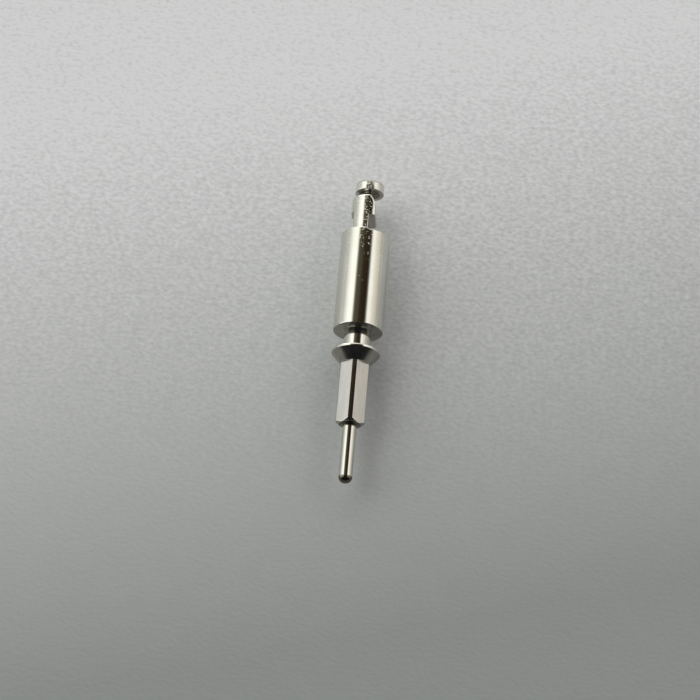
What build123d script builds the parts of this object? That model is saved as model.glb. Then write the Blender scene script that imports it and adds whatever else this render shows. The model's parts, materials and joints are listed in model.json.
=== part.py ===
"""Movement half of a two-piece watch stem: the stem itself, and the coupling hub screwed on its end.

All sizes are in millimetres. The stem lies along Y with its guide head at +Y and its pilot pivot
at -Y. The origin is on the axis, in the middle of the bearing journal, and +Z is up as the stem
lies: one corner of its square points up, and the open side of the coupling faces +X.
"""
import os
from math import radians, tan

from build123d import *

# Pilot pivot, which runs in the hole at the middle of the movement
PILOT_DIAMETER = 0.44
PILOT_LENGTH = 1.75
PILOT_ROOT_FILLET = 0.10
POINT_LENGTH = 0.20
POINT_FLAT_DIAMETER = 0.06

# Square that drives the clutch wheel, with its corners turned round
SQUARE_ACROSS_FLATS = 0.75
SQUARE_ACROSS_CORNERS = 0.92
SQUARE_LENGTH = 1.98
SQUARE_END_CHAMFER = 0.08
SQUARE_END_DIAMETER = 0.73

# Flange, with the cone that the clutch wheel stops against
FLANGE_DIAMETER = 1.56
FLANGE_RIM_WIDTH = 0.09
FLANGE_EDGE_ROUND = 0.05
CONE_LENGTH = 0.35

# Setting-lever groove between the flange and the hub
GROOVE_WIDTH = 0.70
GROOVE_NECK_DIAMETER = 0.86

# Threaded shank that holds the hub, modelled plain at its outside diameter
SHANK_SHOULDER = 0.08
SHANK_END_CHAMFER = 0.08
THREAD_CLEARANCE = 0.01
BORE_SPARE_DEPTH = 0.20
BORE_MOUTH_CHAMFER = 0.03
DRILL_POINT_ANGLE = 118.0

# Bearing journal, the large cylinder of the hub that runs in the movement's plate
JOURNAL_DIAMETER = 1.60
JOURNAL_LENGTH = 3.40
JOURNAL_EDGE_BREAK = 0.025
SOLID_END_LENGTH = 0.90

# Coupling tongue and hook, turned to one diameter and milled flat on two sides
COUPLING_DIAMETER = 1.08
COUPLING_LENGTH = 1.32
COUPLING_EDGE_BREAK = 0.02
CLOSED_SIDE_FROM_AXIS = 0.43
CLOSED_SIDE_LENGTH = 0.76
OPEN_SIDE_FROM_AXIS = 0.07
OPEN_SIDE_INTO_JOURNAL = 0.08
NOTCH_LENGTH = 0.68
NOTCH_FILLET = 0.12

# Nose of the hook on the open side, which the notch leaves standing
HOOK_REACH_FROM_AXIS = 0.28
HOOK_LAND = 0.22
HOOK_CORNER_ROUND = 0.05

# Neck and guide head at the coupling's end
HEAD_NECK_DIAMETER = 0.42
HEAD_NECK_LENGTH = 0.25
HEAD_DIAMETER = 0.94
HEAD_THICKNESS = 0.33
HEAD_FRONT_BREAK = 0.02
HEAD_BACK_ROUND = 0.08

# How far the coupling's open side is turned up from plumb, in degrees
COUPLING_TURN = 3.0

# How far a cutting solid runs past what it cuts
OVERRUN = 0.50

# Places along the axis, towards the pilot's point
HUB_FACE = -JOURNAL_LENGTH / 2
FLANGE_BACK = HUB_FACE - GROOVE_WIDTH
CONE_START = FLANGE_BACK - FLANGE_RIM_WIDTH
SQUARE_START = CONE_START - CONE_LENGTH
SQUARE_CHAMFER_START = SQUARE_START - SQUARE_LENGTH
PILOT_START = SQUARE_CHAMFER_START - SQUARE_END_CHAMFER
POINT_START = PILOT_START - PILOT_LENGTH
POINT_END = POINT_START - POINT_LENGTH

# Places along the axis, towards the guide head
JOURNAL_END = JOURNAL_LENGTH / 2
CLOSED_SIDE_END = JOURNAL_END + CLOSED_SIDE_LENGTH
NOTCH_START = JOURNAL_END - OPEN_SIDE_INTO_JOURNAL
HOOK_START = NOTCH_START + NOTCH_LENGTH
HOOK_END = JOURNAL_END + COUPLING_LENGTH
HEAD_START = HOOK_END + HEAD_NECK_LENGTH
HEAD_END = HEAD_START + HEAD_THICKNESS

# Places inside the hub
BORE_END = JOURNAL_END - SOLID_END_LENGTH
SHANK_END = BORE_END - BORE_SPARE_DEPTH

# Radii
PILOT_RADIUS = PILOT_DIAMETER / 2
POINT_FLAT_RADIUS = POINT_FLAT_DIAMETER / 2
SQUARE_END_RADIUS = SQUARE_END_DIAMETER / 2
CORNER_RADIUS = SQUARE_ACROSS_CORNERS / 2
FLANGE_RADIUS = FLANGE_DIAMETER / 2
GROOVE_RADIUS = GROOVE_NECK_DIAMETER / 2
SHANK_RADIUS = GROOVE_RADIUS - SHANK_SHOULDER
BORE_RADIUS = SHANK_RADIUS + THREAD_CLEARANCE
JOURNAL_RADIUS = JOURNAL_DIAMETER / 2
COUPLING_RADIUS = COUPLING_DIAMETER / 2
HEAD_NECK_RADIUS = HEAD_NECK_DIAMETER / 2
HEAD_RADIUS = HEAD_DIAMETER / 2


def turned(*edges):
    """Solid turned about Y from the edges of a closed outline in radius and place along Y."""
    return revolve(make_face(list(edges)), axis=Axis.Y)


def stem_blank():
    """The stem as it leaves the lathe, from the pilot's point to the shank's end."""
    point_flat = (POINT_FLAT_RADIUS, POINT_END)
    point_side = (PILOT_RADIUS, POINT_START)
    root_side = (PILOT_RADIUS, PILOT_START - PILOT_ROOT_FILLET)
    root_face = (PILOT_RADIUS + PILOT_ROOT_FILLET, PILOT_START)
    rim = (FLANGE_RADIUS, FLANGE_BACK - FLANGE_EDGE_ROUND)
    flange_face = (FLANGE_RADIUS - FLANGE_EDGE_ROUND, FLANGE_BACK)
    square_and_cone = [
        (SQUARE_END_RADIUS, PILOT_START),
        (CORNER_RADIUS, SQUARE_CHAMFER_START),
        (CORNER_RADIUS, SQUARE_START),
        (FLANGE_RADIUS, CONE_START),
    ]
    neck_and_shank = [
        (GROOVE_RADIUS, FLANGE_BACK),
        (GROOVE_RADIUS, HUB_FACE),
        (SHANK_RADIUS, HUB_FACE),
        (SHANK_RADIUS, SHANK_END - SHANK_END_CHAMFER),
        (SHANK_RADIUS - SHANK_END_CHAMFER, SHANK_END),
    ]
    return turned(
        TangentArc(point_side, point_flat, tangent=(0, -1)),
        Line(point_side, root_side),
        TangentArc(root_side, root_face, tangent=(0, 1)),
        Polyline(root_face, *square_and_cone, rim),
        TangentArc(rim, flange_face, tangent=(0, 1)),
        Polyline(flange_face, *neck_and_shank, (0, SHANK_END)),
        Polyline((0, SHANK_END), (0, POINT_END), point_flat),
    )


def square_cutter():
    """What the mill takes off round the square: a ring with a square hole, corner upwards."""
    length = SQUARE_START - PILOT_START
    ring = Cylinder(FLANGE_RADIUS, length, rotation=(90, 0, 0))
    core = Box(SQUARE_ACROSS_FLATS, length + OVERRUN, SQUARE_ACROSS_FLATS, rotation=(0, 45, 0))
    return Pos(0, (SQUARE_START + PILOT_START) / 2, 0) * (ring - core)


def stem():
    """Pilot, square, flange, groove neck and shank in one piece."""
    return stem_blank() - square_cutter()


def hub_blank():
    """The hub as it leaves the lathe, solid, from its front face to the guide head."""
    journal = [
        (0, HUB_FACE),
        (JOURNAL_RADIUS - JOURNAL_EDGE_BREAK, HUB_FACE),
        (JOURNAL_RADIUS, HUB_FACE + JOURNAL_EDGE_BREAK),
        (JOURNAL_RADIUS, JOURNAL_END - JOURNAL_EDGE_BREAK),
        (JOURNAL_RADIUS - JOURNAL_EDGE_BREAK, JOURNAL_END),
    ]
    coupling = [
        (COUPLING_RADIUS, JOURNAL_END),
        (COUPLING_RADIUS, HOOK_END - COUPLING_EDGE_BREAK),
        (COUPLING_RADIUS - COUPLING_EDGE_BREAK, HOOK_END),
        (HEAD_NECK_RADIUS, HOOK_END),
        (HEAD_NECK_RADIUS, HEAD_START),
    ]
    head_side = (HEAD_RADIUS, HEAD_END - HEAD_BACK_ROUND)
    head_back = (HEAD_RADIUS - HEAD_BACK_ROUND, HEAD_END)
    head_front = [
        (HEAD_RADIUS - HEAD_FRONT_BREAK, HEAD_START),
        (HEAD_RADIUS, HEAD_START + HEAD_FRONT_BREAK),
    ]
    return turned(
        Polyline(*journal, *coupling, *head_front, head_side),
        TangentArc(head_side, head_back, tangent=(0, 1)),
        Polyline(head_back, (0, HEAD_END), (0, HUB_FACE)),
    )


def shank_bore():
    """Blind hole for the shank, with its mouth broken and a drill point at its end."""
    drill_point = BORE_RADIUS / tan(radians(DRILL_POINT_ANGLE / 2))
    mouth_radius = BORE_RADIUS + BORE_MOUTH_CHAMFER
    outline = [
        (0, HUB_FACE - OVERRUN),
        (mouth_radius, HUB_FACE - OVERRUN),
        (mouth_radius, HUB_FACE),
        (BORE_RADIUS, HUB_FACE + BORE_MOUTH_CHAMFER),
        (BORE_RADIUS, BORE_END),
        (0, BORE_END + drill_point),
    ]
    return turned(Polyline(*outline, close=True))


def open_side_cutter():
    """What the mill takes off the coupling's open side, cut right through from above.

    Its edge runs round the notch's fillet and along its floor, out under the hook, round the
    hook's nose and along the neck.
    """
    far_side = JOURNAL_RADIUS + OVERRUN
    nose_start = (HOOK_REACH_FROM_AXIS, HOOK_START + HOOK_LAND)
    nose_end = (OPEN_SIDE_FROM_AXIS, HOOK_END)
    fillet_wall = (OPEN_SIDE_FROM_AXIS + NOTCH_FILLET, NOTCH_START)
    fillet_floor = (OPEN_SIDE_FROM_AXIS, NOTCH_START + NOTCH_FILLET)
    corner_wall = (HOOK_REACH_FROM_AXIS - HOOK_CORNER_ROUND, HOOK_START)
    corner_land = (HOOK_REACH_FROM_AXIS, HOOK_START + HOOK_CORNER_ROUND)
    along_neck = [(OPEN_SIDE_FROM_AXIS, HEAD_START), (far_side, HEAD_START), (far_side, NOTCH_START)]
    edges = [
        Polyline(nose_end, *along_neck, fillet_wall),
        TangentArc(fillet_wall, fillet_floor, tangent=(-1, 0)),
        Polyline(fillet_floor, (OPEN_SIDE_FROM_AXIS, HOOK_START), corner_wall),
        TangentArc(corner_wall, corner_land, tangent=(1, 0)),
        Line(corner_land, nose_start),
        TangentArc(nose_start, nose_end, tangent=(0, 1)),
    ]
    return extrude(make_face(edges), amount=far_side, both=True)


def closed_side_cutter():
    """What the mill takes off the tongue's closed side."""
    block = Box(COUPLING_RADIUS, CLOSED_SIDE_LENGTH, JOURNAL_DIAMETER)
    middle_x = -CLOSED_SIDE_FROM_AXIS - COUPLING_RADIUS / 2
    return Pos(middle_x, JOURNAL_END + CLOSED_SIDE_LENGTH / 2, 0) * block


def coupling_hub():
    """Journal, tongue, hook and guide head in one piece, drilled for the shank."""
    milled_away = Rot(0, -COUPLING_TURN, 0) * (open_side_cutter() + closed_side_cutter())
    return hub_blank() - shank_bore() - milled_away


def main():
    """Write one STEP file for each piece, and print the whole length."""
    os.makedirs("parts", exist_ok=True)
    pieces = {"stem": stem(), "coupling_hub": coupling_hub()}
    for name, piece in pieces.items():
        piece.label = name
        export_step(piece, os.path.join("parts", f"{name}.step"))
    print("length", round(HEAD_END - POINT_END, 3))


main()
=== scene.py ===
"""Looks of the movement half of a two-piece watch stem, in metres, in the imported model's frame.

The stem lies along Y with its guide head at +Y, on a pale grained sheet, under a long light tent.
A dark card closes the tent at its near end, and the tent's top is dark except at its far end.
"""
import json
from collections import namedtuple
from math import acos, cos, dist, hypot, pi, radians, sin, sqrt, tan

import bmesh
import bpy
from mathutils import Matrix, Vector


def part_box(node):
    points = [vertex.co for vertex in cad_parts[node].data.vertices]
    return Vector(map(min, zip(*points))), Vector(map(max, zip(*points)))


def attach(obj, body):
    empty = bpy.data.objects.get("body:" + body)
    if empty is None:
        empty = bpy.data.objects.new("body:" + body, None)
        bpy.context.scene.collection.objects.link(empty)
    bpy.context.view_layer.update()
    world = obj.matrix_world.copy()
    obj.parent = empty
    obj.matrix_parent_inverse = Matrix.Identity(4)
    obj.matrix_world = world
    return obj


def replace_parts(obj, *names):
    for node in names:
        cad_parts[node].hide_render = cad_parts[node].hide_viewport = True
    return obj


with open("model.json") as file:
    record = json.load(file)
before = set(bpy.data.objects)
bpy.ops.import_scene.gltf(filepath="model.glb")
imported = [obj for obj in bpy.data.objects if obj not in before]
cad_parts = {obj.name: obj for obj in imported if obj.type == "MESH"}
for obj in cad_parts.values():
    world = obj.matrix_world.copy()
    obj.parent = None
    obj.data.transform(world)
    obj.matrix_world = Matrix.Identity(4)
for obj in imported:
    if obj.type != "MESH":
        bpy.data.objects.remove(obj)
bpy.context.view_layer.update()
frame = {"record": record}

MM = 0.001
DIMS = {mount["name"]: mount["dims"] for mount in frame["record"]["mounts"]}

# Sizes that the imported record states
JOURNAL_RADIUS = DIMS["bearing_journal"]["r_mm"] * MM
PILOT_RADIUS = DIMS["pilot_pivot"]["r_mm"] * MM
PILOT_LENGTH = DIMS["pilot_pivot"]["length_mm"] * MM
SQUARE_LENGTH = DIMS["winding_square"]["length_mm"] * MM
GROOVE_RADIUS = DIMS["setting_lever_groove"]["r_mm"] * MM
NOTCH_LENGTH = DIMS["coupling_hook"]["length_mm"] * MM

# Other sizes of the stem
POINT_LENGTH = 0.20 * MM
POINT_FLAT_RADIUS = 0.03 * MM
PILOT_ROOT_FILLET = 0.10 * MM
HALF_ACROSS_FLATS = 0.375 * MM
CORNER_RADIUS = 0.46 * MM
SQUARE_END_RADIUS = 0.365 * MM
SQUARE_END_CHAMFER = 0.08 * MM
SQUARE_EDGE_BLEND = 0.008 * MM
CONE_LENGTH = 0.35 * MM
FLANGE_RADIUS = 0.78 * MM
FLANGE_RIM_WIDTH = 0.09 * MM
FLANGE_EDGE_ROUND = 0.05 * MM
SHANK_RADIUS = 0.35 * MM
SHANK_END_CHAMFER = 0.08 * MM

# Other sizes of the hub
BORE_RADIUS = 0.36 * MM
BORE_MOUTH_CHAMFER = 0.03 * MM
BORE_SPARE_DEPTH = 0.20 * MM
DRILL_POINT_ANGLE = radians(118)
DRILL_TIP_RADIUS = 0.02 * MM
COUPLING_RADIUS = 0.54 * MM
CLOSED_SIDE = 0.43 * MM
CLOSED_SIDE_LENGTH = 0.76 * MM
OPEN_SIDE = 0.07 * MM
OPEN_SIDE_INTO_JOURNAL = 0.08 * MM
NOTCH_FILLET = 0.12 * MM
HOOK_REACH = 0.28 * MM
HOOK_LAND = 0.22 * MM
HOOK_CORNER_ROUND = 0.05 * MM
HEAD_NECK_RADIUS = 0.21 * MM
HEAD_NECK_LENGTH = 0.25 * MM
HEAD_RADIUS = 0.47 * MM
HEAD_THICKNESS = 0.33 * MM
HEAD_BACK_ROUND = 0.08 * MM
COUPLING_TURN = radians(3)

# How far from each edge its rounding starts, and how much of a side it may take
SHARP_ROUND = 0.010 * MM
RIM_ROUND = 0.022 * MM
JOURNAL_ROUND = 0.028 * MM
TONGUE_ROUND = 0.028 * MM
HOOK_ROUND = 0.045 * MM
MOST_OF_SIDE_SHARE = 0.48

# Places along the axis
POINT_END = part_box("stem")[0].y
SHANK_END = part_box("stem")[1].y
HUB_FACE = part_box("coupling_hub")[0].y
HEAD_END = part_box("coupling_hub")[1].y
POINT_START = POINT_END + POINT_LENGTH
ROOT_START = POINT_START + PILOT_LENGTH
PILOT_START = ROOT_START + PILOT_ROOT_FILLET
SQUARE_START = PILOT_START + SQUARE_END_CHAMFER + SQUARE_LENGTH
CONE_START = SQUARE_START + CONE_LENGTH
FLANGE_BACK = CONE_START + FLANGE_RIM_WIDTH
BORE_END = SHANK_END + BORE_SPARE_DEPTH
JOURNAL_END = -HUB_FACE
NOTCH_START = JOURNAL_END - OPEN_SIDE_INTO_JOURNAL
HOOK_START = NOTCH_START + NOTCH_LENGTH
CLOSED_SIDE_END = JOURNAL_END + CLOSED_SIDE_LENGTH
HEAD_START = HEAD_END - HEAD_THICKNESS
HOOK_END = HEAD_START - HEAD_NECK_LENGTH

# How finely the meshes are divided
ROUND_STEPS = 4
ARC_STEPS = 16
FILLET_STEPS = 10
FLAT_STEPS = 30
CORNER_STEPS = 8
EDGE_SPREAD = radians(1.3)
BACK_FROM = radians(95)
BACK_STEPS = 126
NEAR_EDGE_STEPS = 12
FRONT_SPREAD = radians(78)
FRONT_STEPS = 100
WELD_DISTANCE = 0.0002 * MM

# The square's corners, and the angle from one to the next
SQUARE_CORNERS = 4
CORNER_PITCH = pi / 2

# How the open side's points lie on a ring where the hub is round, as shares of its radius
ROUND_OPEN_SHARE = 0.2
ROUND_EDGE_SHARE = 0.02

# The two tones of each finish
POLISHED_TONES = (0.69, 0.69, 0.62, 1), (0.66, 0.66, 0.585, 1)
GROUND_TONES = (0.63, 0.62, 0.585, 1), (0.69, 0.68, 0.64, 1)
# The turned faces' tones are partly their duller finish and partly painted shade, darker than bare
# steel
TURNED_AND_SHADED_TONES = (0.43, 0.405, 0.365, 1), (0.35, 0.325, 0.285, 1)
# The darkest tones are painted shade: steel darkened where the stem lies in shade
PAINTED_SHADE_TONES = (0.17, 0.150, 0.115, 1), (0.12, 0.105, 0.075, 1)
BORED_TONES = (0.50, 0.48, 0.45, 1), (0.60, 0.58, 0.54, 1)

# How rough each finish is at its smoothest, and how much rougher its worn specks are
POLISHED_ROUGHNESS = 0.05
GROUND_ROUGHNESS = 0.20
TURNED_ROUGHNESS = 0.19
BORED_ROUGHNESS = 0.30
WORN_ROUGHNESS = 0.32

# How high the fine relief of each finish stands
POLISHED_RELIEF = 0.0004 * MM
GROUND_RELIEF = 0.0010 * MM
TURNED_RELIEF = 0.0006 * MM
BORED_RELIEF = 0.002 * MM

# How closely each pattern of the finishes repeats, per millimetre
CLOUDS_PER_MM = 1.3
PATCHES_PER_MM = 4.0
SPECKS_PER_MM = 17.0
DENTS_PER_MM = 9.0
HAIR_LINES_PER_MM = 42.0
GROUND_LINES_PER_MM = 34.0
TURNED_RINGS_PER_MM = 55.0
TURNED_CLOUDS_PER_MM = 5.0
CUT_LINES_PER_MM = 28.0

# Where along the stem, in millimetres, its wear starts and is full, and where its head's wear is
WEAR_STARTS = -1.9
WEAR_FULL = 3.0
HEAD_WEAR_STARTS = 3.20
HEAD_WEAR_FULL = 3.30

# The level of the speck pattern where a worn speck starts and is full
SPECK_STARTS = 0.755
SPECK_FULL = 0.80

# The camera, which looks down from the pilot end at a place on the axis, and a little to its left
LENS = 113.1
CAMERA_AZIMUTH = radians(4.57)
CAMERA_ELEVATION = radians(66.3)
CAMERA_DISTANCE = 70.1 * MM
PICTURE_CENTRE = -2.323 * MM
PICTURE_SHIFT = 0.199 * MM
FARTHEST_SEEN = 10

# The sheet that the stem lies on touches the journal, its largest cylinder
SHEET_HEIGHT = -JOURNAL_RADIUS
SHEET_SIZE = 1.2
# The sheet's darker and paler tones, between which its painted shade and its grain pick
SHEET_SHADE_AND_GRAIN_TONES = (0.360, 0.380, 0.371, 1), (0.880, 0.897, 0.910, 1)
SHEET_ROUGHNESS = 0.75
SHEET_SHEEN = 0.3
SHEET_RELIEF = 0.012 * MM
GRAIN_DEPTH = 0.84
MOTTLE_DEPTH = 0.05

# How the sheet's painted shade, where the light falls off, changes per millimetre, and how many
# millimetres away it levels out
FALLOFF_SHADE_ALONG = 0.026
FALLOFF_SHADE_ACROSS = 0.005
FAR_TONE = 0.85
FAR_TONE_STARTS = 18
FAR_TONE_FULL = 70

# Where along the picture, in millimetres, the sheet's grain starts to show and is full
GRAIN_STARTS = -10
GRAIN_FULL = 4

# The light tent, a half cylinder over the stem, in three stretches along it
TENT_RADIUS = 0.5
TENT_NEAR = -0.12
MIDDLE_NEAR = 0.12
MIDDLE_FAR = 0.36
TENT_FAR = 1.6
TENT_STEPS = 48
TENT_SPAN_DEGREES = 180

# How strongly white glows on the tent, the grey of the world, and the colour of the card
TENT_LEVEL = 2.4
WORLD_LEVEL = 0.7
CARD_COLOUR = (0.02, 0.022, 0.026, 1)

# The Mix node's colour sockets share their names with others, so they go by number
FIRST_COLOUR = 6
SECOND_COLOUR = 7
MIXED_COLOUR = 2


class Signal:
    """A value or colour in a node tree. Arithmetic on it adds Math nodes."""

    def __init__(self, tree, socket=None):
        self.tree = tree
        self.socket = socket

    def node(self, kind, settings=None, inputs=None, output=0):
        """One output of a new node, whose settings are made before its sockets are filled."""
        made = self.tree.nodes.new(kind)
        for name, value in (settings or {}).items():
            if name == "stops":
                set_stops(made.color_ramp.elements, value)
            else:
                setattr(made, name, value)
        for name, value in (inputs or {}).items():
            if isinstance(value, Signal):
                self.tree.links.new(value.socket, made.inputs[name])
            else:
                made.inputs[name].default_value = value
        return Signal(self.tree, made.outputs[output] if made.outputs else None)

    def math(self, operation, *values):
        """A Math node on these values."""
        return self.node("ShaderNodeMath", {"operation": operation}, dict(enumerate(values)))

    def __add__(self, other):
        return self.math("ADD", self, other)

    __radd__ = __add__

    def __sub__(self, other):
        return self.math("SUBTRACT", self, other)

    def __rsub__(self, other):
        return self.math("SUBTRACT", other, self)

    def __mul__(self, other):
        return self.math("MULTIPLY", self, other)

    __rmul__ = __mul__

    def root(self):
        """The square root of this value."""
        return self.math("SQRT", self)

    def rise(self, low, high):
        """From 0 at low to 1 at high, with a smooth start and end."""
        values = {"Value": self, "From Min": low, "From Max": high}
        return self.node("ShaderNodeMapRange", {"interpolation_type": "SMOOTHSTEP"}, values)

    def slope(self, low, high):
        """From 0 at low to 1 at high, in a straight line."""
        values = {"Value": self, "From Min": low, "From Max": high}
        return self.node("ShaderNodeMapRange", inputs=values)

    def parts(self):
        """The X, Y and Z of this vector."""
        outputs = self.node("ShaderNodeSeparateXYZ", inputs={0: self}).socket.node.outputs
        return [Signal(self.tree, output) for output in outputs]

    def scaled(self, x, y, z):
        """This vector with each direction scaled."""
        return self.node("ShaderNodeVectorMath", {"operation": "MULTIPLY"}, {0: self, 1: (x, y, z)})

    def noise(self, scale, detail=2.0, roughness=0.5):
        """Noise from 0 to 1 at this vector."""
        values = {"Vector": self, "Scale": scale, "Detail": detail, "Roughness": roughness}
        return self.node("ShaderNodeTexNoise", inputs=values)

    def mix(self, first, second):
        """The colour between two that this value picks."""
        values = {0: self, FIRST_COLOUR: first, SECOND_COLOUR: second}
        return self.node("ShaderNodeMix", {"data_type": "RGBA"}, values, output=MIXED_COLOUR)

    def bump(self, height):
        """The normal of a surface whose relief this value draws, height metres high at 1."""
        return self.node("ShaderNodeBump", inputs={"Height": self, "Distance": height})


def set_stops(elements, stops):
    """Gives a colour ramp its stops, each a place and a colour."""
    elements.remove(elements[1])
    for index, (place, colour) in enumerate(stops):
        element = elements.new(place) if index else elements[0]
        element.position = place
        element.color = (*colour, 1.0)


def new_material(name):
    """A material without nodes, and a signal that adds nodes to it."""
    material = bpy.data.materials.new(name)
    material.use_nodes = True
    material.node_tree.nodes.clear()
    return material, Signal(material.node_tree)


def place_on_object(nodes):
    """The place on the object in metres, as a vector."""
    return nodes.node("ShaderNodeTexCoord", output="Object")


def millimetres(nodes):
    """The place on the object in millimetres, as a vector."""
    return place_on_object(nodes).scaled(1 / MM, 1 / MM, 1 / MM)


def close(nodes, shader):
    """Links a surface shader to the material's output."""
    nodes.node("ShaderNodeOutputMaterial", inputs={"Surface": shader})


def metal(nodes, colour, roughness, normal):
    """Closes a material as bare metal."""
    close(nodes, nodes.node("ShaderNodeBsdfPrincipled", inputs={
        "Base Color": colour,
        "Metallic": 1.0,
        "Roughness": roughness,
        "Normal": normal,
    }))


def polished_steel():
    """Tumbled steel, near mirror, with hair lines round it and worn specks, most on its head."""
    material, nodes = new_material("polished_steel")
    place = millimetres(nodes)
    x, y, z = place.parts()
    clouds = place.noise(CLOUDS_PER_MM, 3.0)
    colour = clouds.rise(0.35, 0.65).mix(*POLISHED_TONES)
    patches = place.noise(PATCHES_PER_MM)
    density = y.rise(WEAR_STARTS, WEAR_FULL) + 0.6 * patches - 0.3
    on_head = y.rise(HEAD_WEAR_STARTS, HEAD_WEAR_FULL)
    specks = place.noise(SPECKS_PER_MM, 2.0, 0.6)
    worn = (specks + 0.16 * density + 0.08 * on_head).rise(SPECK_STARTS, SPECK_FULL)
    roughness = POLISHED_ROUGHNESS + 0.03 * clouds + WORN_ROUGHNESS * worn
    hair_lines = place.scaled(0.6, HAIR_LINES_PER_MM, 0.6).noise(1.0)
    dents = place.noise(DENTS_PER_MM)
    relief = 0.25 * hair_lines + dents + 2.0 * worn
    metal(nodes, colour, roughness, relief.bump(POLISHED_RELIEF))
    return material


def ground_flats():
    """The square's flats, ground lengthways, with their grain along the stem."""
    material, nodes = new_material("ground_flats")
    place = millimetres(nodes)
    grain = place.scaled(GROUND_LINES_PER_MM, 1.6, GROUND_LINES_PER_MM).noise(1.0, 3.0, 0.6)
    broad = place.scaled(5.0, 0.8, 5.0).noise(1.0)
    colour = grain.rise(0.3, 0.7).mix(*GROUND_TONES)
    roughness = GROUND_ROUGHNESS + 0.10 * grain
    relief = grain + 1.5 * broad
    metal(nodes, colour, roughness, relief.bump(GROUND_RELIEF))
    return material


def turned_and_shaded_faces(name, tones):
    """Faces that aren't polished, with the fine rings of a lathe tool, between two tones darker than
    bare steel as painted shade.
    """
    material, nodes = new_material(name)
    place = millimetres(nodes)
    x, y, z = place.parts()
    from_axis = (x * x + z * z).root()
    across_rings = TURNED_RINGS_PER_MM * (y + from_axis)
    ring_place = nodes.node("ShaderNodeCombineXYZ", inputs={"X": across_rings, "Y": x, "Z": z})
    rings = ring_place.noise(1.0)
    clouds = place.noise(TURNED_CLOUDS_PER_MM, 3.0)
    colour = clouds.rise(0.3, 0.7).mix(*tones)
    roughness = TURNED_ROUGHNESS + 0.06 * rings + 0.06 * clouds
    relief = rings + 0.6 * clouds
    metal(nodes, colour, roughness, relief.bump(TURNED_RELIEF))
    return material


def bored_steel():
    """The hidden shank and the drilled hole that holds it, left as cut."""
    material, nodes = new_material("bored_steel")
    place = millimetres(nodes)
    cut_lines = place.scaled(1.0, CUT_LINES_PER_MM, 1.0).noise(1.0)
    colour = cut_lines.mix(*BORED_TONES)
    roughness = BORED_ROUGHNESS + 0.15 * cut_lines
    metal(nodes, colour, roughness, cut_lines.bump(BORED_RELIEF))
    return material


FINISHES = {
    "polished": polished_steel(),
    "ground": ground_flats(),
    "turned": turned_and_shaded_faces("turned_and_shaded_faces", TURNED_AND_SHADED_TONES),
    # The dark finish is painted shade, steel darkened where it lies in shade
    "dark": turned_and_shaded_faces("painted_shade_ends", PAINTED_SHADE_TONES),
    "bored": bored_steel(),
}

# A corner of an outline: where it is, where its rounding starts, and the finish of what follows it
Corner = namedtuple("Corner", "at round finish")

# The hub at one place along its axis: the radius of its back, how far its open side bulges out, how
# far its open side stands from the axis and where the rounding of its edges starts, how wide each
# half of the finely divided middle of the open side is, and how far its closed side stands out
Ring = namedtuple("Ring", "radius bulge open_side edge_round fine_half closed_side place")


def eased(corners):
    """An outline with its corners rounded, and the finish of each of its stretches."""
    outline = [corners[0].at]
    finishes = [corners[0].finish]
    for before, corner, after in zip(corners, corners[1:], corners[2:]):
        if not corner.round:
            outline.append(corner.at)
            finishes.append(corner.finish)
            continue
        back = share_of_side(corner, before)
        ahead = share_of_side(corner, after)
        for step in range(ROUND_STEPS + 1):
            t = step / ROUND_STEPS
            pull_back = back * (1 - t) ** 2
            pull_ahead = ahead * t ** 2
            outline.append(tuple(
                c + pull_back * (b - c) + pull_ahead * (a - c)
                for b, c, a in zip(before.at, corner.at, after.at)
            ))
            finishes.append("polished")
        finishes[-1] = corner.finish
    outline.append(corners[-1].at)
    return outline, finishes


def share_of_side(corner, other):
    """How much of the side from a corner to the one beside it its rounding takes."""
    side = dist(corner.at, other.at)
    return min(corner.round / side, MOST_OF_SIDE_SHARE) if side else 0.0


def spread(low, high, steps):
    """Even steps from low up to, and without, high."""
    return [low + (high - low) * step / steps for step in range(steps)]


def bulge(start, end):
    """Points on the arc from start to end, both (distance out, place), that leaves start along Y."""
    drop = start[0] - end[0]
    run = end[1] - start[1]
    radius = (run ** 2 + drop ** 2) / (2 * drop)
    whole = acos(1 - drop / radius)
    side = 1 if run > 0 else -1
    turns = spread(0, whole, ARC_STEPS) + [whole]
    return [(start[0] - radius * (1 - cos(t)), start[1] + side * radius * sin(t)) for t in turns]


def skin(name, rings, finish_at):
    """Closed mesh through rings of points, from the axis at the first to the axis at the last."""
    mesh = bmesh.new()
    loops = [[mesh.verts.new(point) for point in ring] for ring in rings]
    tips = [mesh.verts.new((0, ring[0].y, 0)) for ring in (rings[0], rings[-1])]
    finishes = list(FINISHES)
    count = len(rings[0])
    for side in range(count):
        beside = (side + 1) % count
        faces = [mesh.faces.new((tips[0], loops[0][side], loops[0][beside]))]
        for lower, upper in zip(loops, loops[1:]):
            faces.append(mesh.faces.new((lower[side], upper[side], upper[beside], lower[beside])))
        faces.append(mesh.faces.new((tips[1], loops[-1][beside], loops[-1][side])))
        for band, face in enumerate(faces):
            face.smooth = True
            face.material_index = finishes.index(finish_at(band, side))
    bmesh.ops.remove_doubles(mesh, verts=mesh.verts, dist=WELD_DISTANCE)
    bmesh.ops.recalc_face_normals(mesh, faces=mesh.faces)
    data = bpy.data.meshes.new(name)
    mesh.to_mesh(data)
    mesh.free()
    for finish in finishes:
        data.materials.append(FINISHES[finish])
    piece = bpy.data.objects.new(name, data)
    bpy.context.scene.collection.objects.link(piece)
    piece.modifiers.new("flat_faces_stay_flat", "WEIGHTED_NORMAL")
    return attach(piece, "root")


def half_corner():
    """The angle from the middle of a rounded corner of the square to where its flat begins."""
    return CORNER_PITCH / 2 - acos(HALF_ACROSS_FLATS / CORNER_RADIUS)


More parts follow.
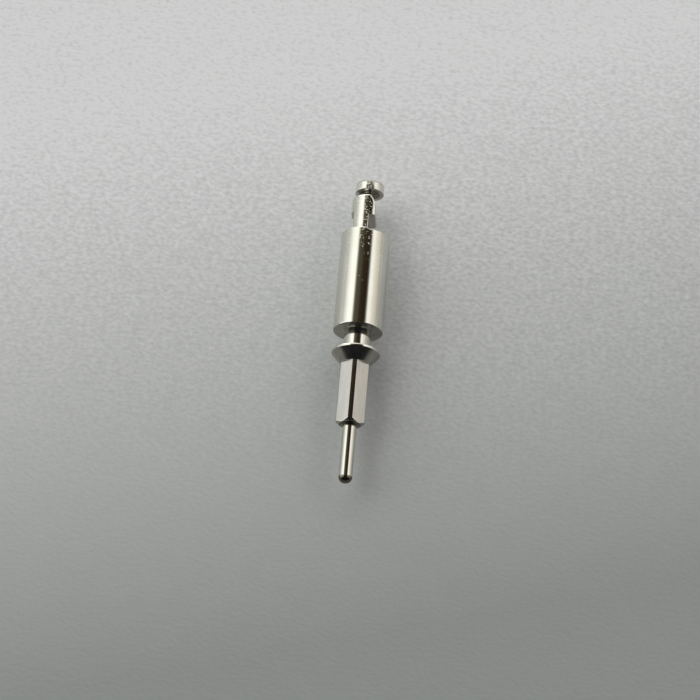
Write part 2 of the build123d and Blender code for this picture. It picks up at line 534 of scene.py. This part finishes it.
def stem_angles():
    """Angles round the stem from its upper corner, closest together beside the square's edges."""
    edge = half_corner()
    near = EDGE_SPREAD
    quarter = (
        spread(near - edge, edge - near, CORNER_STEPS)
        + spread(edge - near, edge + near, CORNER_STEPS)
        + spread(edge + near, CORNER_PITCH - edge - near, FLAT_STEPS)
        + spread(CORNER_PITCH - edge - near, CORNER_PITCH - edge + near, CORNER_STEPS)
    )
    return [angle + corner * CORNER_PITCH for corner in range(SQUARE_CORNERS) for angle in quarter]


def square_reach(angle):
    """How far the square stands from the axis at an angle from its upper corner."""
    flat = HALF_ACROSS_FLATS / cos(angle % CORNER_PITCH - CORNER_PITCH / 2)
    share = min(max(0.5 + 0.5 * (CORNER_RADIUS - flat) / SQUARE_EDGE_BLEND, 0), 1)
    blended = CORNER_RADIUS + (flat - CORNER_RADIUS) * share
    return blended - SQUARE_EDGE_BLEND * share * (1 - share)


def pilot_outline():
    """The pilot pivot's rounded point, its plain part and the fillet at its root."""
    point = bulge((PILOT_RADIUS, POINT_START), (POINT_FLAT_RADIUS, POINT_END))
    # The rounded point and the root's fillet take the dark finish, painted shade
    round_end = [Corner(at, 0, "dark") for at in point[:0:-1]]
    side = [Corner(point[0], 0, "polished")]
    fillet = []
    for turn in spread(0, pi / 2, FILLET_STEPS):
        reach = PILOT_RADIUS + PILOT_ROOT_FILLET * (1 - cos(turn))
        place = ROOT_START + PILOT_ROOT_FILLET * sin(turn)
        fillet.append(Corner((reach, place), 0, "dark"))
    return round_end + side + fillet


def stem_outline(angle):
    """The stem's outline at an angle, as corners of (distance from the axis, place)."""
    reach = square_reach(angle)
    chamfer_slope = SQUARE_END_CHAMFER / (CORNER_RADIUS - SQUARE_END_RADIUS)
    chamfer_run = (reach - SQUARE_END_RADIUS) * chamfer_slope
    return pilot_outline() + [
        # The square's end face next to the pilot takes painted shade, the dark finish
        Corner((PILOT_RADIUS + PILOT_ROOT_FILLET, PILOT_START), 0, "dark"),
        Corner((SQUARE_END_RADIUS, PILOT_START), SHARP_ROUND, "turned"),
        Corner((reach, PILOT_START + chamfer_run), SHARP_ROUND, "ground"),
        Corner((reach, SQUARE_START), SHARP_ROUND, "turned"),
        Corner((CORNER_RADIUS, SQUARE_START), SHARP_ROUND, "turned"),
        Corner((FLANGE_RADIUS, CONE_START), SHARP_ROUND, "polished"),
        Corner((FLANGE_RADIUS, FLANGE_BACK), FLANGE_EDGE_ROUND, "turned"),
        Corner((GROOVE_RADIUS, FLANGE_BACK), SHARP_ROUND, "polished"),
        Corner((GROOVE_RADIUS, HUB_FACE), SHARP_ROUND, "bored"),
        Corner((SHANK_RADIUS, HUB_FACE), SHARP_ROUND, "bored"),
        Corner((SHANK_RADIUS, SHANK_END - SHANK_END_CHAMFER), SHARP_ROUND, "bored"),
        Corner((SHANK_RADIUS - SHANK_END_CHAMFER, SHANK_END), 0, "bored"),
    ]


def make_stem():
    """Pilot pivot, square, cone and flange, groove neck and the hidden shank."""
    angles = stem_angles()
    outlines, bands = zip(*(eased(stem_outline(angle)) for angle in angles))
    # The tip of the point takes painted shade, the dark finish
    finishes = ["dark"] + bands[0] + ["bored"]
    rings = [
        [
            Vector((reach * sin(angle), place, reach * cos(angle)))
            for angle, (reach, place) in zip(angles, ring)
        ]
        for ring in zip(*outlines)
    ]

    def finish_at(band, side):
        """The finish of a band at a side, with painted shade, the dark finish, on the square's
        rounded corners.
        """
        from_corner = abs((angles[side] + CORNER_PITCH / 2) % CORNER_PITCH - CORNER_PITCH / 2)
        on_corner = finishes[band] == "ground" and from_corner < half_corner()
        return "dark" if on_corner else finishes[band]

    piece = skin("stem_turned", rings, finish_at)
    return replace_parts(piece, "stem")


def half_width(radius, open_side, edge_round):
    """Half the width of the open side between the roundings of its edges."""
    return sqrt(radius ** 2 - open_side ** 2) - edge_round


def round_ring(radius, place):
    """A ring where the hub is round, with its points spread as they are where it is milled."""
    open_side = ROUND_OPEN_SHARE * radius
    edge_round = ROUND_EDGE_SHARE * radius
    fine_half = half_width(radius, open_side, edge_round)
    return Ring(radius, radius, open_side, edge_round, fine_half, radius, place)


def milled_ring(radius, place, open_side, edge_round, closed_side, fine_half=None):
    """A ring where the hub is milled away on its open side, and on its closed side too if nearer."""
    if fine_half is None:
        fine_half = half_width(radius, open_side, edge_round)
    return Ring(radius, open_side, open_side, edge_round, fine_half, closed_side, place)


def section(ring):
    """Points round the hub at a ring, each (distance towards the open side, height)."""
    half = acos(ring.open_side / ring.radius)
    tip = ring.radius * sin(half)
    edge = tip - ring.edge_round
    near_edge = spread(half + ring.edge_round / ring.radius, BACK_FROM, NEAR_EDGE_STEPS)
    back = spread(BACK_FROM, 2 * pi - BACK_FROM, BACK_STEPS) + [2 * pi - BACK_FROM]
    angles = near_edge + back + [2 * pi - angle for angle in reversed(near_edge)]
    reaches = [back_reach(ring, angle) for angle in angles]
    arc = [(reach * cos(angle), reach * sin(angle)) for reach, angle in zip(reaches, angles)]
    turns = spread(-FRONT_SPREAD, FRONT_SPREAD, FRONT_STEPS) + [FRONT_SPREAD]
    middle = [(ring.open_side, ring.fine_half * tan(turn) / tan(FRONT_SPREAD)) for turn in turns]
    lower_edge = rounded(arc[-1], (ring.open_side, -tip), (ring.open_side, -edge))
    upper_edge = rounded((ring.open_side, edge), (ring.open_side, tip), arc[0])
    front = lower_edge + [(ring.open_side, -edge)] + middle + [(ring.open_side, edge)] + upper_edge
    return arc + [pushed_out(point, ring.bulge) for point in front]


def back_reach(ring, angle):
    """How far the hub stands from its axis at an angle round its back from its open side."""
    towards_closed_side = -cos(angle)
    if towards_closed_side <= 0:
        return ring.radius
    return min(ring.radius, ring.closed_side / towards_closed_side)


def rounded(start, corner, end):
    """The points between start and end on the curve that rounds a corner."""
    shares = [step / ROUND_STEPS for step in range(1, ROUND_STEPS)]
    return [
        tuple(c + (1 - t) ** 2 * (s - c) + t ** 2 * (e - c) for s, c, e in zip(start, corner, end))
        for t in shares
    ]


def pushed_out(point, least):
    """A point of a section, moved straight out from the axis to at least this distance."""
    stretch = max(1, least / hypot(*point))
    return tuple(stretch * part for part in point)


def bore_and_journal():
    """From the end of the bore, out over the hub's face and along the journal to the notch."""
    drill_point = (BORE_RADIUS - DRILL_TIP_RADIUS) / tan(DRILL_POINT_ANGLE / 2)
    mouth_radius = BORE_RADIUS + BORE_MOUTH_CHAMFER
    return [
        Corner(round_ring(DRILL_TIP_RADIUS, BORE_END + drill_point), 0, "bored"),
        Corner(round_ring(BORE_RADIUS, BORE_END), SHARP_ROUND, "bored"),
        Corner(round_ring(BORE_RADIUS, HUB_FACE + BORE_MOUTH_CHAMFER), SHARP_ROUND, "bored"),
        Corner(round_ring(mouth_radius, HUB_FACE), SHARP_ROUND, "turned"),
        Corner(round_ring(JOURNAL_RADIUS, HUB_FACE), JOURNAL_ROUND, "polished"),
        Corner(round_ring(JOURNAL_RADIUS, NOTCH_START), RIM_ROUND, "turned"),
    ]


def journal_reach(place):
    """The journal's radius near its end, where its edge is rounded."""
    into_round = min(max(place - JOURNAL_END + JOURNAL_ROUND, 0), JOURNAL_ROUND)
    return JOURNAL_RADIUS - JOURNAL_ROUND + sqrt(JOURNAL_ROUND ** 2 - into_round ** 2)


def notch():
    """The notch's fillet and floor, with the journal's end face across its closed side."""
    end_turn = acos(1 - OPEN_SIDE_INTO_JOURNAL / NOTCH_FILLET)
    corners = []
    for turn in spread(0, end_turn, FILLET_STEPS) + [end_turn]:
        open_side, place = notch_fillet(turn)
        radius = journal_reach(place)
        fine_half = half_width(COUPLING_RADIUS, open_side, TONGUE_ROUND)
        finish = "turned" if turn == end_turn else "polished"
        ring = milled_ring(radius, place, open_side, TONGUE_ROUND, radius, fine_half)
        corners.append(Corner(ring, 0, finish))
    for turn in spread(end_turn, pi / 2, FILLET_STEPS) + [pi / 2]:
        open_side, place = notch_fillet(turn)
        ring = milled_ring(COUPLING_RADIUS, place, open_side, TONGUE_ROUND, CLOSED_SIDE)
        corners.append(Corner(ring, 0, "polished"))
    floor_end = milled_ring(COUPLING_RADIUS, HOOK_START, OPEN_SIDE, TONGUE_ROUND, CLOSED_SIDE)
    return corners + [Corner(floor_end, SHARP_ROUND, "turned")]


def notch_fillet(turn):
    """A point (distance from the axis, place) of the notch's fillet, from its wall to its floor."""
    return OPEN_SIDE + NOTCH_FILLET * (1 - sin(turn)), NOTCH_START + NOTCH_FILLET * (1 - cos(turn))


def hook():
    """The hook from its land round its nose, with the end of the tongue's milled closed side."""
    fine_half = half_width(HEAD_NECK_RADIUS, OPEN_SIDE, SHARP_ROUND)
    land = milled_ring(COUPLING_RADIUS, HOOK_START, HOOK_REACH, HOOK_ROUND, CLOSED_SIDE, fine_half)
    flat_end = land._replace(place=CLOSED_SIDE_END)
    corners = [
        Corner(land, HOOK_CORNER_ROUND, "polished"),
        Corner(flat_end, 0, "turned"),
        Corner(flat_end._replace(closed_side=COUPLING_RADIUS), RIM_ROUND, "polished"),
    ]
    for reach, place in bulge((HOOK_REACH, HOOK_START + HOOK_LAND), (OPEN_SIDE, HOOK_END)):
        radius = COUPLING_RADIUS - max(0, place - HOOK_END + RIM_ROUND)
        finish = "turned" if place == HOOK_END else "polished"
        ring = milled_ring(radius, place, reach, HOOK_ROUND, radius, fine_half)
        corners.append(Corner(ring, 0, finish))
    return corners


def neck_and_head():
    """The neck behind the hook, and the round guide head with its rounded back edge."""
    neck_start = milled_ring(HEAD_NECK_RADIUS, HOOK_END, OPEN_SIDE, SHARP_ROUND, HEAD_NECK_RADIUS)
    middle_radius = 0.5 * (HEAD_NECK_RADIUS + HEAD_RADIUS)
    front = [
        Corner(neck_start, 0, "polished"),
        # The head's front face beside the neck takes painted shade, the dark finish
        Corner(neck_start._replace(place=HEAD_START), SHARP_ROUND, "dark"),
        Corner(round_ring(middle_radius, HEAD_START), 0, "turned"),
        Corner(round_ring(HEAD_RADIUS, HEAD_START), RIM_ROUND, "polished"),
    ]
    side_end = (HEAD_RADIUS, HEAD_END - HEAD_BACK_ROUND)
    back_start = (HEAD_RADIUS - HEAD_BACK_ROUND, HEAD_END)
    back_edge = [Corner(round_ring(*at), 0, "turned") for at in bulge(side_end, back_start)]
    return front + back_edge + [Corner(round_ring(middle_radius, HEAD_END), 0, "turned")]


def make_hub():
    """Bearing journal, tongue, hook, neck and guide head, with the hole for the shank."""
    outline, bands = eased(bore_and_journal() + notch() + hook() + neck_and_head())
    finishes = ["bored"] + bands + ["turned"]
    across = Vector((cos(COUPLING_TURN), 0, sin(COUPLING_TURN)))
    upwards = Vector((-sin(COUPLING_TURN), 0, cos(COUPLING_TURN)))
    hub_rings = [Ring(*values) for values in outline]
    rings = [
        [u * across + v * upwards + Vector((0, ring.place, 0)) for u, v in section(ring)]
        for ring in hub_rings
    ]
    piece = skin("hub_turned", rings, lambda band, side: finishes[band])
    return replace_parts(piece, "coupling_hub")


def emitter(name, stops):
    """A glowing material that changes with the angle round the tent, from its left to its right."""
    material, nodes = new_material(name)
    x, y, z = place_on_object(nodes).parts()
    turn = x.math("ARCTAN2", x, z) * (1 / pi) + 0.5
    ramp = turn.node("ShaderNodeValToRGB", {"stops": stops}, {0: turn})
    close(nodes, nodes.node("ShaderNodeEmission", inputs={"Color": ramp, "Strength": TENT_LEVEL}))
    return material


def angle_stop(degrees, level, red=0.0, blue=0.0):
    """A ramp stop at an angle from the tent's top, negative on its left, with more red or blue."""
    share = level / TENT_LEVEL
    return degrees / TENT_SPAN_DEGREES + 0.5, (share * (1 + red), share, share * (1 + blue))


def long_sheet(name, near, far, material):
    """A half cylinder over the stem that glows by its material and that the camera doesn't see."""
    mesh = bmesh.new()
    angles = spread(-pi / 2, pi / 2, TENT_STEPS) + [pi / 2]
    arc = [(TENT_RADIUS * sin(angle), TENT_RADIUS * cos(angle)) for angle in angles]
    near_arc, far_arc = (
        [mesh.verts.new((across, place, height)) for across, height in arc]
        for place in (near, far)
    )
    for corners in zip(near_arc, far_arc, far_arc[1:], near_arc[1:]):
        mesh.faces.new(corners)
    return stage_object(name, mesh, material)


def stage_object(name, mesh, material):
    """An object of the studio, which the camera itself doesn't see."""
    data = bpy.data.meshes.new(name)
    mesh.to_mesh(data)
    mesh.free()
    data.materials.append(material)
    thing = bpy.data.objects.new(name, data)
    bpy.context.scene.collection.objects.link(thing)
    thing.visible_camera = False
    return thing


def make_tent():
    """The tent: bright sides, and a top that is dark from its near end to its far stretch."""
    near = [
        angle_stop(-90, 2.2, 0.0, -0.04),
        angle_stop(-33, 2.2, 0.0, -0.04),
        angle_stop(-26, 0.12, 0.12, -0.26),
        angle_stop(1, 0.03, 0.4, -0.4),
        angle_stop(27, 0.04, 0.4, -0.4),
        angle_stop(35, 1.1, 0.03, -0.02),
        angle_stop(90, 1.1, 0.05, -0.05),
    ]
    left = [
        angle_stop(-90, 0.66, 0.01, 0.0),
        angle_stop(-76, 0.74, 0.01, 0.0),
        angle_stop(-70, 1.00, 0.01, 0.0),
        angle_stop(-64, 1.16, 0.01, -0.01),
        angle_stop(-52, 1.46, 0.01, -0.02),
        angle_stop(-35.5, 1.50, 0.0, -0.05),
        angle_stop(-30.3, 0.92, 0.0, -0.07),
    ]
    slit = [
        angle_stop(-25, 0.16, 0.12, -0.26),
        angle_stop(-19, 0.09, 0.15, -0.32),
        angle_stop(-9, 0.08, 0.12, -0.28),
        angle_stop(1, 0.03, 0.4, -0.4),
        angle_stop(21, 0.02, 0.6, -0.4),
        angle_stop(26.5, 0.05, 0.3, -0.3),
        angle_stop(31.5, 0.30),
    ]
    right = [
        angle_stop(35.5, 1.00, 0.03, 0.0),
        angle_stop(41, 1.32, 0.03, -0.01),
        angle_stop(50, 1.22, 0.035, -0.03),
        angle_stop(59, 1.00, 0.05, -0.07),
        angle_stop(70, 0.82, 0.07, -0.10),
        angle_stop(82, 0.66, 0.09, -0.14),
        angle_stop(90, 0.42, 0.08, -0.12),
    ]
    beyond = [
        angle_stop(-90, 2.4),
        angle_stop(-20, 2.4),
        angle_stop(20, 1.4),
        angle_stop(90, 1.4),
    ]
    middle = left + slit + right
    long_sheet("tent_near", TENT_NEAR, MIDDLE_NEAR, emitter("tent_near_glow", near))
    long_sheet("tent_over_stem", MIDDLE_NEAR, MIDDLE_FAR, emitter("tent_dark_top", middle))
    long_sheet("tent_beyond", MIDDLE_FAR, TENT_FAR, emitter("tent_far_glow", beyond))


def make_end_card():
    """The dark upright card that closes the tent behind the camera."""
    material, nodes = new_material("dark_card")
    close(nodes, nodes.node("ShaderNodeBsdfDiffuse", inputs={"Color": CARD_COLOUR}))
    mesh = bmesh.new()
    side = TENT_RADIUS
    corners = [(-side, 0), (side, 0), (side, side), (-side, side)]
    mesh.faces.new([mesh.verts.new((x, TENT_NEAR, z)) for x, z in corners])
    stage_object("end_card", mesh, material)


def sheet_material():
    """Pale paper-like sheet with a fine raised grain, and painted shade where the light falls off
    over it.
    """
    material, nodes = new_material("pale_sheet")
    place = millimetres(nodes)
    x, y, z = place.parts()
    across = cos(CAMERA_AZIMUTH) * x + sin(CAMERA_AZIMUTH) * y
    along = cos(CAMERA_AZIMUTH) * y - sin(CAMERA_AZIMUTH) * x
    distance = (x * x + y * y).root()
    # Painted shade: the sheet darkens along and across the picture as the light falls off
    painted_falloff = (FALLOFF_SHADE_ALONG * along - FALLOFF_SHADE_ACROSS * across).slope(-0.30, 0.22)
    far_share = distance.rise(FAR_TONE_STARTS, FAR_TONE_FULL)
    tone = painted_falloff + (FAR_TONE - painted_falloff) * far_share
    grain = place.scaled(6.0, 8.5, 6.0).noise(1.0)
    mottle = place.noise(1.1, 3.0)
    grain_strength = along.rise(GRAIN_STARTS, GRAIN_FULL)
    grain_shade = GRAIN_DEPTH * grain_strength * (grain - 0.5)
    shade = tone + grain_shade + MOTTLE_DEPTH * (mottle - 0.5)
    colour = shade.mix(*SHEET_SHADE_AND_GRAIN_TONES)
    roughness = SHEET_ROUGHNESS - 0.3 * grain.rise(0.62, 0.75)
    normal = (grain + 0.4 * mottle).bump(SHEET_RELIEF)
    close(nodes, nodes.node("ShaderNodeBsdfPrincipled", inputs={
        "Base Color": colour,
        "Roughness": roughness,
        "Specular IOR Level": SHEET_SHEEN,
        "Normal": normal,
    }))
    return material


def make_sheet():
    """The sheet that the stem lies on."""
    mesh = bmesh.new()
    half = SHEET_SIZE / 2
    corners = [(-half, -half), (half, -half), (half, half), (-half, half)]
    mesh.faces.new([mesh.verts.new((x, y, SHEET_HEIGHT)) for x, y in corners])
    sheet = stage_object("sheet", mesh, sheet_material())
    sheet.visible_camera = True


def make_world():
    """Pale surroundings, seen past the sheet and the tent."""
    world = bpy.data.worlds.new("pale_surroundings")
    bpy.context.scene.world = world
    world.use_nodes = True
    world.node_tree.nodes.clear()
    nodes = Signal(world.node_tree)
    level = (WORLD_LEVEL, WORLD_LEVEL, WORLD_LEVEL, 1)
    background = nodes.node("ShaderNodeBackground", inputs={"Color": level})
    nodes.node("ShaderNodeOutputWorld", inputs={"Surface": background})


def make_camera():
    """The camera at the photograph's viewing angle."""
    right = Vector((cos(CAMERA_AZIMUTH), sin(CAMERA_AZIMUTH), 0))
    towards_camera = Vector((
        sin(CAMERA_AZIMUTH) * cos(CAMERA_ELEVATION),
        -cos(CAMERA_AZIMUTH) * cos(CAMERA_ELEVATION),
        sin(CAMERA_ELEVATION),
    ))
    target = Vector((0, PICTURE_CENTRE, 0)) - PICTURE_SHIFT * right
    data = bpy.data.cameras.new("camera")
    data.lens = LENS
    data.clip_start = MM
    data.clip_end = FARTHEST_SEEN
    camera = bpy.data.objects.new("camera", data)
    camera.location = target + CAMERA_DISTANCE * towards_camera
    camera.rotation_euler = towards_camera.to_track_quat("Z", "Y").to_euler()
    bpy.context.scene.collection.objects.link(camera)
    bpy.context.scene.camera = camera


bpy.context.scene.view_settings.view_transform = "Standard"
make_camera()
make_world()
make_tent()
make_end_card()
make_sheet()
make_stem()
make_hub()
